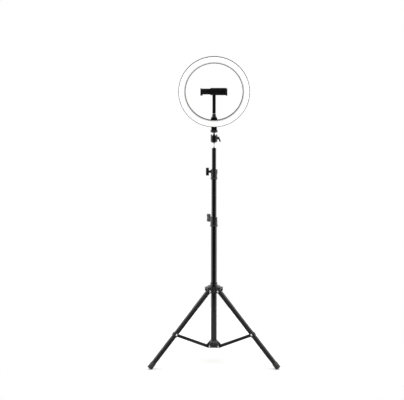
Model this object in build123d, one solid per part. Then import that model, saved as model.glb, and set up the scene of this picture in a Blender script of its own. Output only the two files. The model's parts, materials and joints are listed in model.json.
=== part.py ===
from build123d import *
from math import acos, cos, degrees, radians, sin, sqrt
import os

# Ring light on a three-section folding light stand, with a phone clip in the ring.
# Millimetres. +Z is up, the lamp faces -Y, and the origin is on the floor under the column's axis.

# ---- fits ----
SEAT_GAP = 0.05          # radial, between pieces fixed to each other
PIN_GAP = 0.05           # radial, pin or screw that turns in a hole
SLIDE_GAP = 0.30         # radial, tube in tube and hub on tube
SIDE_GAP = 0.30          # beside a moving arm

# ---- column tubes ----
LOWER_TUBE_OD = 22.0
TUBE_WALL = 1.2
LOWER_TUBE_LENGTH = 478.0
MIDDLE_TUBE_LENGTH = 470.0
TOP_TUBE_LENGTH = 460.0
MIDDLE_DRAWN = 177.0     # end of the middle tube above the end of the lower tube
TOP_DRAWN = 93.5         # end of the top tube above the end of the middle tube
BUSH_FLANGE = 3.0
BUSH_DEPTH = 12.0

# ---- legs and braces ----
LEG_AZIMUTHS = {"left": 210.0, "right": 330.0, "back": 90.0}
LEG_ANGLE = 44.0         # open leg, from vertical
LEG_LENGTH = 362.0       # leg pivot to the end of the foot
LEG_TO_BRACE = 205.0     # leg pivot to brace pivot
LEG_PIVOT_R = 22.0
BRACE_LENGTH = 154.5     # pivot to pivot
BRACE_PIVOT_R = 24.0
LEG_HEIGHT = 15.0        # channel, in the plane of the fold
LEG_WIDTH = 13.0
LEG_WALL = 1.2
LEG_BEND_R = 2.2
LEG_GROOVE_WIDTH = 1.8
LEG_GROOVE_DEPTH = 0.35
LEG_GROOVE_INSET = 26.0
FOOT_SKIN = 0.9
FOOT_LENGTH = 24.0
FOOT_SOLE = 5.0
FOOT_PLUG_DEPTH = 10.0
FOOT_BITE = 2.5          # depth of the flat ground across the foot's lower corner
SADDLE_WIDTH = 13.0
SADDLE_WALL = 1.5
SADDLE_BUTTON_R = 2.6
SADDLE_BUTTON_HEIGHT = 1.4
BRACE_WIDTH = 9.4
BRACE_EYE_R = 5.5
BRACE_WALL = 1.2
RIVET_R = 2.0
RIVET_HEAD_R = 3.9
RIVET_HEAD_HEIGHT = 1.7
RIVET_EDGE = 0.35        # share of the head's height before it turns in
RIVET_CROWN = 0.62       # flat top, share of the head's radius

# ---- hubs ----
UPPER_HUB_CHEEK = 3.0
UPPER_HUB_REACH = 33.0
UPPER_HUB_HEIGHT = 16.0  # from the leg pivots to the top plate
UPPER_HUB_ROOF = 9.5     # from the leg pivots to the underside of the roof
UPPER_HUB_TOE = 2.0      # bottom of each arm, beyond the leg pivot
UPPER_HUB_CHIN = 3.0     # lower corner of each arm's end, above the leg pivot
UPPER_HUB_NECK = 13.0
UPPER_HUB_PLATE_R = 24.0
UPPER_HUB_PLATE = 4.0
NECK_WALL = 1.9
HUB_SCREW_HEIGHT = 22.2
LOWER_HUB_CHEEK = 3.3
LOWER_HUB_WALL = 3.4
LOWER_HUB_SLOT_CLEAR = 2.5  # behind the brace's eye
LOWER_HUB_FLOOR = 3.0
LOWER_HUB_SHOULDER = 14.0
LOWER_HUB_FLARE = 7.0
LOWER_HUB_FLARE_R = 19.0
LOWER_HUB_RIM = 2.0      # height of the flare's edge
LOWER_HUB_NOSE = 0.7     # corner of the arm, share of the eye's radius

# ---- clamp collars and T-knobs ----
COLLAR_GRIP = 20.0       # over the outer tube
LOWER_COLLAR_HEAD = 13.0
UPPER_COLLAR_HEAD = 16.0
COLLAR_WALL = 2.0
COLLAR_FLANGE = 1.3
COLLAR_FLANGE_HEIGHT = 4.5
COLLAR_NECK_WALL = 2.6
COLLAR_RIM = 0.7
COLLAR_RIM_HEIGHT = 2.2
CLAMP_SCREW_R = 2.9
CLAMP_SCREW_HEIGHT = 8.2  # above the end of the outer tube
CLAMP_BOSS_R = 5.8
CLAMP_BOSS_REACH = 3.4   # beyond the collar's neck
CLAMP_PAD_LENGTH = 1.6
UPPER_KNOB_AZIMUTH = 180.0
LOWER_KNOB_AZIMUTH = 138.0
HUB_KNOB_AZIMUTH = 90.0
KNOB_HEIGHT = 29.0
KNOB_WIDTH = 9.0
KNOB_DEPTH = 11.0
KNOB_CORNER_R = 3.0
KNOB_SCALLOP_R = 17.0
KNOB_SCALLOP = 1.2
KNOB_BOSS_R = 4.7
KNOB_BOSS = 4.0
HUB_KNOB_BOSS = 19.0
KNOB_SCREW_BITE = 6.0

# ---- head stud, ball head and lock ring ----
CAP_FLANGE = 3.0
CAP_SPIGOT = 14.0
CAP_CHAMFER = 0.6
STUD_R = 3.17            # quarter-inch camera thread
STUD_EXPOSED = 20.0
STUD_BITE = 8.0
NUT_FLATS = 10.0
NUT_HEIGHT = 5.0
HEAD_R = 12.5
HEAD_HEIGHT = 29.0
HEAD_FOOT_R = 7.0
HEAD_FOOT_RISE = 5.0
HEAD_FOOT_BEND = 2.0     # height over which the foot turns into the wall
HEAD_EDGE = 1.0
BALL_R = 8.5
BALL_DEPTH = 8.5         # ball centre below the rim
BALL_THROAT_R = 7.6
NOTCH_DEPTH = 4.0
BALL_NECK_R = 3.6
BALL_NECK = 13.0         # above the ball's centre
THREAD_ROOT_R = 2.0
THREAD_ROOT_DEPTH = 5.0
LEVER_DROP = 12.0        # lever axis below the rim
LEVER_BOSS_R = 5.4
LEVER_BOSS = 2.6
LEVER_HUB_R = 4.4
LEVER_HUB = 3.4
LEVER_ARM_X = 9.5
LEVER_ARM_Z = 14.5
LEVER_ARM_WIDTH = 7.0
LEVER_ARM_THICK = 4.0
LEVER_SCREW_R = 2.4
LEVER_PAD = 2.0
LEVER_PAD_CLEAR = 0.32   # from the ball, with the lever open
LEVER_ROOT = 0.8         # half height of the arm at the hub, share of the hub's radius
RING_GAP_BELOW = 4.5     # neck top to the lock ring
LOCK_RING_R = 13.2
LOCK_RING_HEIGHT = 8.6
LOCK_RING_CHAMFER = 1.6
MOUNT_SCREW_BITE = 7.5

# ---- lamp ----
LAMP_R = 130.0
LAMP_BORE_R = 104.0
LAMP_CLEAR_UNDER = 12.3  # lock ring to the lamp's lowest edge
HOUSING_DEPTH = 12.5
HOUSING_OUTER_WALL = 1.4
HOUSING_INNER_WALL = 1.6
HOUSING_BACK = 1.8
HOUSING_EDGE_R = 2.5
BOARD_RIB_HEIGHT = 2.0
BOARD_RIB_WIDTH = 1.0
BOARD_RIB_INSET = 4.0    # of each rib from the channel's walls
BOARD_THICK = 1.2
BOARD_INSET = 0.6
LED_SIZE = (3.5, 2.8, 0.8)
LED_ROW_COUNT = 40
LED_ROW_INSET = 6.2      # of each row from the walls
DIFFUSER_WALL = 1.4
DIFFUSER_SKIRT_GAP = 0.15
DIFFUSER_PROUD = 0.4     # diffuser edge beyond the housing rim
DIFFUSER_CROWN = 2.6
DIFFUSER_BOSS_R = 2.6
HOUSING_SCREW_R = 1.1
HOUSING_SCREW_HEAD_R = 2.6
HOUSING_SCREW_HEAD = 1.3
HOUSING_SCREW_COUNT = 8
HOUSING_SCREW_BITE = 5.0
GLAND_AZIMUTH = 300.0
GLAND_BORE_R = 1.9
GLAND_R = 4.5
GLAND_HEIGHT = 8.0
GLAND_NECK_R = 3.2
GLAND_NECK = 2.6
GLAND_TAPER = 0.6        # height where the taper starts, share of the whole

# ---- mounting block and phone holder ----
BLOCK_WIDTH = 21.0
BLOCK_FRONT = 10.0
BLOCK_BACK = 11.0
BLOCK_EDGE_R = 1.5
BLOCK_SCREW_R = 1.5
BLOCK_SCREW_HEAD_R = 2.9
BLOCK_SCREW_HEAD = 1.6
BLOCK_SCREW_RISE = (9.0, 19.0)
SHOE_BASE_WIDTH = 24.6
SHOE_TOP_WIDTH = 17.0
SHOE_HEIGHT = 10.0
SHOE_FRONT = 8.0
SHOE_BACK = 11.0
SOCKET_R = 7.2
SOCKET_HEIGHT = 9.5
ARM_BALL_R = 5.3
ARM_BALL_Y = 4.0
ARM_BALL_SUNK = 3.2      # ball centre below the socket's rim
ARM_NECK_R = 2.8
ARM_WIDTH = 12.0
ARM_THICK = 6.0
ARM_EYE_R = 9.0
CLIP_GAP = 88.0          # jaw to jaw
CLIP_HEIGHT = 24.0
CLIP_BODY_HEIGHT = 26.0
CLIP_BODY_DEPTH = 8.5
CLIP_BODY_LEFT = 13.5
CLIP_BODY_WALL = 2.0
CLIP_JAW_THICK = 6.0
CLIP_FIXED_THICK = 4.0
CLIP_JAW_REACH = 16.0    # in front of the body
CLIP_LIP = 2.2
CLIP_LIP_THICK = 2.2
CLIP_SLIDER_THICK = 3.8
CLIP_SLIDER_OVERLAP = 53.0
CLIP_PAD = 1.4
CLIP_PAD_INSET = 2.0
CLIP_TO_ARM = 0.5
PIVOT_SCREW_R = 2.0
PIVOT_SCREW_HEAD_R = 4.0
PIVOT_SCREW_HEAD = 2.0
SPRING_R = 1.9
SPRING_WIRE = 0.7

# ---- places that follow from the sizes ----
LEG_TILT = radians(LEG_ANGLE)
FOOT_HALF_HEIGHT = LEG_HEIGHT / 2 + FOOT_SKIN
UPPER_PIVOT_Z = LEG_LENGTH * cos(LEG_TILT) + FOOT_HALF_HEIGHT * sin(LEG_TILT) - FOOT_BITE
JOINT_R = LEG_PIVOT_R + LEG_TO_BRACE * sin(LEG_TILT)
JOINT_Z = UPPER_PIVOT_Z - LEG_TO_BRACE * cos(LEG_TILT)
BRACE_ANGLE = degrees(acos((JOINT_R - BRACE_PIVOT_R) / BRACE_LENGTH))
LOWER_PIVOT_Z = JOINT_Z - BRACE_LENGTH * sin(radians(BRACE_ANGLE))

LOWER_TUBE_R = LOWER_TUBE_OD / 2
MIDDLE_TUBE_R = LOWER_TUBE_R - TUBE_WALL - SLIDE_GAP
TOP_TUBE_R = MIDDLE_TUBE_R - TUBE_WALL - SLIDE_GAP
LOWER_HUB_BOTTOM = LOWER_PIVOT_Z - BRACE_EYE_R
LOWER_TUBE_BASE = LOWER_HUB_BOTTOM + LOWER_HUB_FLOOR
LOWER_TUBE_TOP = LOWER_TUBE_BASE + LOWER_TUBE_LENGTH
MIDDLE_TUBE_TOP = LOWER_TUBE_TOP + MIDDLE_DRAWN
TOP_TUBE_TOP = MIDDLE_TUBE_TOP + TOP_DRAWN

CAP_TOP = TOP_TUBE_TOP + CAP_FLANGE
HEAD_BOTTOM = CAP_TOP + STUD_EXPOSED
HEAD_TOP = HEAD_BOTTOM + HEAD_HEIGHT
BALL_Z = HEAD_TOP - BALL_DEPTH
BALL_NECK_TOP = BALL_Z + BALL_NECK
LEVER_Z = HEAD_TOP - LEVER_DROP
LEVER_PAD_R = LEVER_SCREW_R - PIN_GAP
LEVER_PAD_UNDER = max(0.0, BALL_Z - LEVER_Z - LEVER_PAD_R)  # ball's centre to the pad's top
LEVER_PAD_START = sqrt(BALL_R ** 2 - LEVER_PAD_UNDER ** 2) + LEVER_PAD_CLEAR
LEVER_START = HEAD_R + LEVER_BOSS + SIDE_GAP
LOCK_RING_BOTTOM = BALL_NECK_TOP + RING_GAP_BELOW
BLOCK_BOTTOM = LOCK_RING_BOTTOM + LOCK_RING_HEIGHT + SIDE_GAP
LAMP_Z = BLOCK_BOTTOM + LAMP_CLEAR_UNDER + LAMP_R
BLOCK_TOP = LAMP_Z - LAMP_BORE_R
BOARD_BASE = HOUSING_BACK + BOARD_RIB_HEIGHT
BOARD_TOP = BOARD_BASE + BOARD_THICK
CHANNEL_OUTER_R = LAMP_R - HOUSING_OUTER_WALL
CHANNEL_INNER_R = LAMP_BORE_R + HOUSING_INNER_WALL
CHANNEL_MID_R = (CHANNEL_OUTER_R + CHANNEL_INNER_R) / 2

SHOE_TOP = BLOCK_TOP + SHOE_HEIGHT
SOCKET_TOP = SHOE_TOP + SOCKET_HEIGHT
ARM_BALL_Z = SOCKET_TOP - ARM_BALL_SUNK
ARM_FRONT = ARM_BALL_Y - ARM_THICK / 2
CLIP_BACK = ARM_FRONT - CLIP_TO_ARM
CLIP_FRONT = CLIP_BACK - CLIP_BODY_DEPTH
CLIP_Z = LAMP_Z
SLIDER_Y = (CLIP_FRONT + CLIP_BACK) / 2


# ---- small shape helpers ----
# Cutters run 1 mm past the faces that they cut, and pieces of one solid overlap by 1 mm where they join.
def block(x0, x1, y0, y1, z0, z1):
    centre = Pos((x0 + x1) / 2, (y0 + y1) / 2, (z0 + z1) / 2)
    return centre * Box(abs(x1 - x0), abs(y1 - y0), abs(z1 - z0))


def rod(radius, z0, z1):
    return Pos(0, 0, (z0 + z1) / 2) * Cylinder(radius, z1 - z0)


def rod_x(radius, x0, x1):
    return Rot(0, 90, 0) * rod(radius, x0, x1)


def rod_y(radius, y0, y1):
    return Rot(-90, 0, 0) * rod(radius, y0, y1)


def pipe(outer, inner, z0, z1):
    return rod(outer, z0, z1) - rod(inner, z0 - 1, z1 + 1)


def turned(points):
    """Solid of revolution about Z from (radius, height) points."""
    return revolve(Plane.XZ * make_face(Polyline(*points, close=True)), Axis.Z)


def side_plate(points, half_width):
    """Prism across Y from (x, z) points."""
    return extrude(Plane.XZ * make_face(Polyline(*points, close=True)), half_width, both=True)


def group(shapes):
    return Compound(children=list(shapes))


def around(shape, azimuth):
    return Rot(0, 0, azimuth) * shape


def rivet(half_length):
    """Rivet across Y, with a low domed head at each end."""
    shank = rod_y(RIVET_R, -half_length, half_length)
    head_points = [
        (0, half_length),
        (RIVET_HEAD_R, half_length),
        (RIVET_HEAD_R, half_length + RIVET_HEAD_HEIGHT * RIVET_EDGE),
        (RIVET_HEAD_R * RIVET_CROWN, half_length + RIVET_HEAD_HEIGHT),
        (0, half_length + RIVET_HEAD_HEIGHT),
    ]
    head = Rot(-90, 0, 0) * turned(head_points)
    return shank + head + Rot(0, 0, 180) * head


def rivet_stub(inner, outer):
    """Half rivet: a shank from inner to outer along +Y and its head."""
    reach = 2 * RIVET_HEAD_R
    return rivet(outer) & block(-reach, reach, inner, outer + reach, -reach, reach)


# ---- leg assembly ----
def in_leg(shape, azimuth):
    """From a frame with the leg along -Z from its pivot and +X outward, to its place."""
    placed = Pos(LEG_PIVOT_R, 0, UPPER_PIVOT_Z) * Rot(0, -LEG_ANGLE, 0) * shape
    return around(placed, azimuth)


def leg_channel():
    half_h = LEG_HEIGHT / 2
    half_w = LEG_WIDTH / 2
    end = -LEG_LENGTH + FOOT_SOLE
    bar = block(-half_h, half_h, -half_w, half_w, end, 0)
    bar += rod_y(half_h, -half_w, half_w)
    bar = fillet(bar.edges().filter_by(Axis.Z).group_by(Axis.X)[-1], LEG_BEND_R)
    inner_w = half_w - LEG_WALL
    bar -= block(-half_h - 1, half_h - LEG_WALL, -inner_w, inner_w, end - 1, LEG_HEIGHT)
    hole = rod_y(RIVET_R + PIN_GAP, -LEG_WIDTH, LEG_WIDTH)
    bar -= hole
    bar -= Pos(0, 0, -LEG_TO_BRACE) * hole
    below = (end + LEG_GROOVE_INSET, -LEG_TO_BRACE - LEG_GROOVE_INSET)
    above = (-LEG_TO_BRACE + LEG_GROOVE_INSET, -LEG_GROOVE_INSET)
    for low, high in (below, above):
        for side in (-1, 1):
            face = side * half_w
            floor = side * (half_w - LEG_GROOVE_DEPTH)
            bar -= block(-LEG_GROOVE_WIDTH / 2, LEG_GROOVE_WIDTH / 2, floor, face + side, low, high)
    return bar


def foot():
    half_h = FOOT_HALF_HEIGHT
    half_w = LEG_WIDTH / 2 + FOOT_SKIN
    low = -LEG_LENGTH
    cap = Pos(0, 0, low) * extrude(RectangleRounded(2 * half_h, 2 * half_w, LEG_BEND_R), FOOT_LENGTH)
    seat_h = LEG_HEIGHT / 2 + SEAT_GAP
    seat_w = LEG_WIDTH / 2 + SEAT_GAP
    cap -= block(-seat_h, seat_h, -seat_w, seat_w, low + FOOT_SOLE, 0)
    plug_w = LEG_WIDTH / 2 - LEG_WALL - SEAT_GAP
    plug_x = LEG_HEIGHT / 2 - LEG_WALL - SEAT_GAP
    cap += block(-seat_h, plug_x, -plug_w, plug_w, low + FOOT_SOLE - 1, low + FOOT_SOLE + FOOT_PLUG_DEPTH)
    return cap


def ground_flat(shape, azimuth):
    """The foot in its place, cut level with the floor."""
    placed = in_leg(shape, azimuth)
    reach = 2 * LEG_LENGTH
    return placed - block(-reach, reach, -reach, reach, -LEG_LENGTH, 0)


def saddle():
    """Pressed strap over the leg at the brace pivot."""
    inner_x = LEG_HEIGHT / 2 + SEAT_GAP
    inner_y = LEG_WIDTH / 2 + SEAT_GAP
    outer_x = inner_x + SADDLE_WALL
    outer_y = inner_y + SADDLE_WALL
    low_x = -LEG_HEIGHT / 2
    half = SADDLE_WIDTH / 2
    strap = block(low_x, outer_x, -outer_y, outer_y, -half, half)
    strap = fillet(strap.edges().filter_by(Axis.Z).group_by(Axis.X)[-1], LEG_BEND_R)
    strap -= block(low_x - 1, inner_x, -inner_y, inner_y, -half - 1, half + 1)
    strap += rod_x(SADDLE_BUTTON_R, outer_x - SADDLE_WALL / 2, outer_x + SADDLE_BUTTON_HEIGHT)
    strap -= rod_y(RIVET_R + PIN_GAP, -LEG_WIDTH, LEG_WIDTH)
    return Pos(0, 0, -LEG_TO_BRACE) * strap


def brace_rivet():
    half = LEG_WIDTH / 2 + SEAT_GAP + SADDLE_WALL
    return Pos(0, 0, -LEG_TO_BRACE) * rivet(half)


def brace(azimuth):
    half_w = BRACE_WIDTH / 2
    bar = block(0, BRACE_LENGTH, -half_w, half_w, -BRACE_EYE_R, BRACE_EYE_R)
    bar += rod_y(BRACE_EYE_R, -half_w, half_w)
    bar += Pos(BRACE_LENGTH, 0, 0) * rod_y(BRACE_EYE_R, -half_w, half_w)
    inner = half_w - BRACE_WALL
    top = BRACE_EYE_R - BRACE_WALL
    reach = BRACE_LENGTH + 2 * BRACE_EYE_R
    bar -= block(-2 * BRACE_EYE_R, reach, -inner, inner, -BRACE_EYE_R - 1, top)
    hole = rod_y(RIVET_R + PIN_GAP, -BRACE_WIDTH, BRACE_WIDTH)
    bar -= hole
    bar -= Pos(BRACE_LENGTH, 0, 0) * hole
    placed = Pos(BRACE_PIVOT_R, 0, LOWER_PIVOT_Z) * Rot(0, -BRACE_ANGLE, 0) * bar
    return around(placed, azimuth)


# ---- hubs ----
def upper_hub():
    z = UPPER_PIVOT_Z
    gap = LEG_WIDTH / 2 + SIDE_GAP
    half = gap + UPPER_HUB_CHEEK
    slot_start = LEG_PIVOT_R - LEG_HEIGHT / 2 - 2 * SIDE_GAP
    low = z - LEG_HEIGHT / 2
    top = z + UPPER_HUB_HEIGHT
    bore = LOWER_TUBE_R + SLIDE_GAP
    neck_r = bore + NECK_WALL
    arm_points = [
        (LOWER_TUBE_R, low),
        (LEG_PIVOT_R + UPPER_HUB_TOE, low),
        (UPPER_HUB_REACH, z + UPPER_HUB_CHIN),
        (UPPER_HUB_REACH, top),
        (LOWER_TUBE_R, top),
    ]
    arm = side_plate(arm_points, half)
    hub = rod(neck_r + 1, low, top) + rod(neck_r, top - 1, top + UPPER_HUB_NECK)
    hub += rod(UPPER_HUB_PLATE_R, top - UPPER_HUB_PLATE, top)
    slot = block(slot_start, 2 * UPPER_HUB_REACH, -gap, gap, low - 1, z + UPPER_HUB_ROOF)
    hole = Pos(LEG_PIVOT_R, 0, z) * rod_y(RIVET_R + SEAT_GAP, -2 * half, 2 * half)
    for azimuth in LEG_AZIMUTHS.values():
        hub += around(arm, azimuth)
    for azimuth in LEG_AZIMUTHS.values():
        hub -= around(slot, azimuth)
        hub -= around(hole, azimuth)
    screw_z = z + HUB_SCREW_HEIGHT
    boss = Pos(0, 0, screw_z) * rod_x(CLAMP_BOSS_R, 0, neck_r + CLAMP_BOSS_REACH)
    hub += around(boss, HUB_KNOB_AZIMUTH)
    hub -= rod(bore, low - 1, top + UPPER_HUB_NECK + 1)
    screw_hole = Pos(0, 0, screw_z) * rod_x(CLAMP_SCREW_R + PIN_GAP, 0, 2 * neck_r)
    return hub - around(screw_hole, HUB_KNOB_AZIMUTH)


def leg_pivot_rivets():
    half = LEG_WIDTH / 2 + SIDE_GAP + UPPER_HUB_CHEEK
    one = Pos(LEG_PIVOT_R, 0, UPPER_PIVOT_Z) * rivet(half)
    return group(around(one, azimuth) for azimuth in LEG_AZIMUTHS.values())


def lower_hub():
    z = LOWER_PIVOT_Z
    gap = BRACE_WIDTH / 2 + 2 * SIDE_GAP
    half = gap + LOWER_HUB_CHEEK
    seat = LOWER_TUBE_R + SEAT_GAP
    core = seat + LOWER_HUB_WALL
    shoulder = z + LOWER_HUB_SHOULDER
    slot_start = BRACE_PIVOT_R - BRACE_EYE_R - LOWER_HUB_SLOT_CLEAR
    body = turned([
        (0, LOWER_HUB_BOTTOM),
        (core, LOWER_HUB_BOTTOM),
        (core, z + BRACE_EYE_R),
        (LOWER_HUB_FLARE_R, shoulder - LOWER_HUB_RIM),
        (LOWER_HUB_FLARE_R, shoulder),
        (seat + TUBE_WALL, shoulder + LOWER_HUB_FLARE),
        (0, shoulder + LOWER_HUB_FLARE),
    ])
    nose = BRACE_EYE_R * LOWER_HUB_NOSE
    arm_points = [
        (LOWER_TUBE_R, LOWER_HUB_BOTTOM),
        (BRACE_PIVOT_R, LOWER_HUB_BOTTOM),
        (BRACE_PIVOT_R + nose, z + nose),
        (LOWER_HUB_FLARE_R + 1, shoulder - 1),
        (LOWER_TUBE_R, shoulder),
    ]
    arm = side_plate(arm_points, half)
    arm += Pos(BRACE_PIVOT_R, 0, z) * rod_y(BRACE_EYE_R, -half, half)
    slot_top = shoulder + LOWER_HUB_FLARE + 1
    slot = block(slot_start, 2 * BRACE_PIVOT_R, -gap, gap, LOWER_HUB_BOTTOM - 1, slot_top)
    hole = Pos(BRACE_PIVOT_R, 0, z) * rod_y(RIVET_R + SEAT_GAP, -2 * half, 2 * half)
    for azimuth in LEG_AZIMUTHS.values():
        body += around(arm, azimuth)
    for azimuth in LEG_AZIMUTHS.values():
        body -= around(slot, azimuth)
        body -= around(hole, azimuth)
    return body - rod(seat, LOWER_TUBE_BASE, slot_top)


def lower_hub_rivets():
    gap = BRACE_WIDTH / 2 + 2 * SIDE_GAP
    stub = rivet_stub(gap, gap + LOWER_HUB_CHEEK)
    pair = [stub, Rot(0, 0, 180) * stub]
    place = Pos(BRACE_PIVOT_R, 0, LOWER_PIVOT_Z)
    return group(around(place * one, azimuth) for azimuth in LEG_AZIMUTHS.values() for one in pair)


# ---- telescoping column ----
def bush(tube_r, base):
    """Plastic end plug with a guide flange, in the lower end of a sliding tube."""
    inner = tube_r - TUBE_WALL - SEAT_GAP
    flange = tube_r + SLIDE_GAP / 2
    plug = pipe(flange, inner - 2 * TUBE_WALL, base - BUSH_FLANGE, base)
    return plug + pipe(inner, inner - 2 * TUBE_WALL, base - 1, base + BUSH_DEPTH)


def collar_neck_r(inner_r):
    return inner_r + SLIDE_GAP + COLLAR_NECK_WALL


def collar(tube_r, inner_r, tube_top, head, knob_azimuth):
    seat = tube_r + SEAT_GAP
    body_r = seat + COLLAR_WALL
    flange_r = body_r + COLLAR_FLANGE
    neck_r = collar_neck_r(inner_r)
    low = tube_top - COLLAR_GRIP
    top = tube_top + head
    shell = turned([
        (0, low),
        (flange_r, low),
        (flange_r, low + COLLAR_FLANGE_HEIGHT),
        (body_r, low + COLLAR_FLANGE_HEIGHT + COLLAR_FLANGE),
        (body_r, tube_top),
        (neck_r, tube_top + COLLAR_WALL),
        (neck_r, top - COLLAR_RIM_HEIGHT - COLLAR_RIM),
        (neck_r + COLLAR_RIM, top - COLLAR_RIM_HEIGHT),
        (neck_r + COLLAR_RIM, top),
        (0, top),
    ])
    screw_z = tube_top + CLAMP_SCREW_HEIGHT
    boss = Pos(0, 0, screw_z) * rod_x(CLAMP_BOSS_R, 0, neck_r + CLAMP_BOSS_REACH)
    lug_r = neck_r + CLAMP_BOSS_REACH / 2
    lug = block(-lug_r, 0, -COLLAR_WALL, COLLAR_WALL, tube_top, top)
    shell += around(boss + lug, knob_azimuth)
    shell -= rod(seat, low - 1, tube_top)
    shell -= rod(inner_r + SLIDE_GAP, low, top + 1)
    hole = Pos(0, 0, screw_z) * rod_x(CLAMP_SCREW_R + PIN_GAP, 0, 2 * body_r)
    return shell - around(hole, knob_azimuth)


def clamp_pad(inner_r, screw_z, knob_azimuth):
    start = inner_r + 2 * PIN_GAP
    pad = rod_x(CLAMP_SCREW_R - PIN_GAP, start, start + CLAMP_PAD_LENGTH)
    return around(Pos(0, 0, screw_z) * pad, knob_azimuth)


def clamp_screw(start, boss_end, screw_z, knob_azimuth):
    screw = rod_x(CLAMP_SCREW_R, start, boss_end + KNOB_SCREW_BITE)
    return around(Pos(0, 0, screw_z) * screw, knob_azimuth)


def t_knob(start, boss_end, screw_z, knob_azimuth):
    """Moulded T-knob on a boss, its bar upright at rest."""
    bar = Rot(0, 90, 0) * extrude(RectangleRounded(KNOB_HEIGHT, KNOB_WIDTH, KNOB_CORNER_R), KNOB_DEPTH)
    bar = Pos(boss_end, 0, 0) * bar
    offset = KNOB_WIDTH / 2 + KNOB_SCALLOP_R - KNOB_SCALLOP
    for side in (-1, 1):
        bar -= Pos(0, side * offset, 0) * rod_x(KNOB_SCALLOP_R, boss_end - 1, boss_end + KNOB_DEPTH + 1)
    knob = bar + rod_x(KNOB_BOSS_R, start, boss_end + 1)
    knob -= rod_x(CLAMP_SCREW_R + SEAT_GAP, start - 1, boss_end + KNOB_SCREW_BITE)
    return around(Pos(0, 0, screw_z) * knob, knob_azimuth)


# ---- head stud and ball head ----
def top_cap():
    spigot = rod(TOP_TUBE_R - TUBE_WALL - SEAT_GAP, TOP_TUBE_TOP - CAP_SPIGOT, TOP_TUBE_TOP + 1)
    flange = rod(TOP_TUBE_R, TOP_TUBE_TOP, CAP_TOP)
    flange = chamfer(flange.edges().filter_by(GeomType.CIRCLE).group_by(Axis.Z)[-1], CAP_CHAMFER)
    return spigot + flange - rod(STUD_R + SEAT_GAP, TOP_TUBE_TOP - CAP_SPIGOT - 1, CAP_TOP + 1)


def top_stud():
    return rod(STUD_R, TOP_TUBE_TOP - CAP_SPIGOT + 2, HEAD_BOTTOM + STUD_BITE - SIDE_GAP)


def stud_nut():
    hexagon = RegularPolygon(NUT_FLATS / 2, 6, major_radius=False)
    nut = Pos(0, 0, CAP_TOP) * extrude(hexagon, NUT_HEIGHT)
    return nut - rod(STUD_R + SEAT_GAP, CAP_TOP - 1, CAP_TOP + NUT_HEIGHT + 1)


def ball_housing():
    z = HEAD_BOTTOM
    body = turned([
        (0, z),
        (HEAD_FOOT_R, z),
        (HEAD_R - HEAD_EDGE, z + HEAD_FOOT_RISE - HEAD_FOOT_BEND),
        (HEAD_R, z + HEAD_FOOT_RISE),
        (HEAD_R, HEAD_TOP - HEAD_EDGE),
        (HEAD_R - HEAD_EDGE, HEAD_TOP),
        (0, HEAD_TOP),
    ])
    body += Pos(0, 0, LEVER_Z) * rod_x(LEVER_BOSS_R, 0, HEAD_R + LEVER_BOSS)
    body -= Pos(0, 0, BALL_Z) * Sphere(BALL_R + SLIDE_GAP)
    body -= rod(BALL_THROAT_R, HEAD_TOP - NOTCH_DEPTH, HEAD_TOP + 1)
    half = BALL_THROAT_R - PIN_GAP
    body -= block(-half, half, -2 * HEAD_R, 2 * HEAD_R, HEAD_TOP - NOTCH_DEPTH, HEAD_TOP + 1)
    body -= rod(STUD_R + PIN_GAP, z - 1, z + STUD_BITE)
    return body - Pos(0, 0, LEVER_Z) * rod_x(LEVER_SCREW_R + PIN_GAP, 0, 2 * HEAD_R)


def ball_clamp_pad():
    pad = rod_x(LEVER_PAD_R, LEVER_PAD_START, LEVER_PAD_START + LEVER_PAD)
    return Pos(0, 0, LEVER_Z) * pad


def lever_screw():
    start = LEVER_PAD_START + LEVER_PAD
    return Pos(0, 0, LEVER_Z) * rod_x(LEVER_SCREW_R, start, LEVER_START + LEVER_HUB - 1)


def ball_lock_lever():
    start = LEVER_START
    root = LEVER_HUB_R * LEVER_ROOT
    hub = rod_x(LEVER_HUB_R, start, start + LEVER_HUB)
    arm = side_plate([
        (start, root),
        (start + LEVER_HUB, root),
        (start + LEVER_ARM_X, -LEVER_ARM_Z + 2),
        (start + LEVER_ARM_X - LEVER_ARM_THICK, -LEVER_ARM_Z),
        (start, -root),
    ], LEVER_ARM_WIDTH / 2)
    lever = hub + arm - rod_x(LEVER_SCREW_R + SEAT_GAP, start - 1, start + LEVER_HUB - 1)
    return Pos(0, 0, LEVER_Z) * lever


def ball_stem():
    stem = Pos(0, 0, BALL_Z) * Sphere(BALL_R)
    stem += rod(BALL_NECK_R, BALL_Z, BALL_NECK_TOP)
    return stem - rod(THREAD_ROOT_R + SEAT_GAP, BALL_NECK_TOP - THREAD_ROOT_DEPTH, BALL_NECK_TOP + 1)


def mount_screw():
    root = rod(THREAD_ROOT_R, BALL_NECK_TOP - THREAD_ROOT_DEPTH + PIN_GAP, BALL_NECK_TOP + 1)
    return root + rod(STUD_R, BALL_NECK_TOP, BLOCK_BOTTOM + MOUNT_SCREW_BITE - SIDE_GAP)


def lock_ring():
    top = LOCK_RING_BOTTOM + LOCK_RING_HEIGHT
    disc = rod(LOCK_RING_R, LOCK_RING_BOTTOM, top)
    disc = chamfer(disc.edges().filter_by(GeomType.CIRCLE), LOCK_RING_CHAMFER)
    return disc - rod(STUD_R + PIN_GAP, LOCK_RING_BOTTOM - 1, top + 1)


# ---- lamp, built flat with its back at height 0 and its front up, then stood upright ----
def upright(shape):
    return Pos(0, 0, LAMP_Z) * Rot(90, 0, 0) * shape


def polar(shape, radius, count, start=0.0):
    step = 360.0 / count
    return [Rot(0, 0, start + i * step) * Pos(radius, 0, 0) * shape for i in range(count)]


SCREW_START = 180.0 / HOUSING_SCREW_COUNT
GLAND_PLACE = Rot(0, 0, GLAND_AZIMUTH) * Pos(CHANNEL_MID_R, 0, 0)


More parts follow.
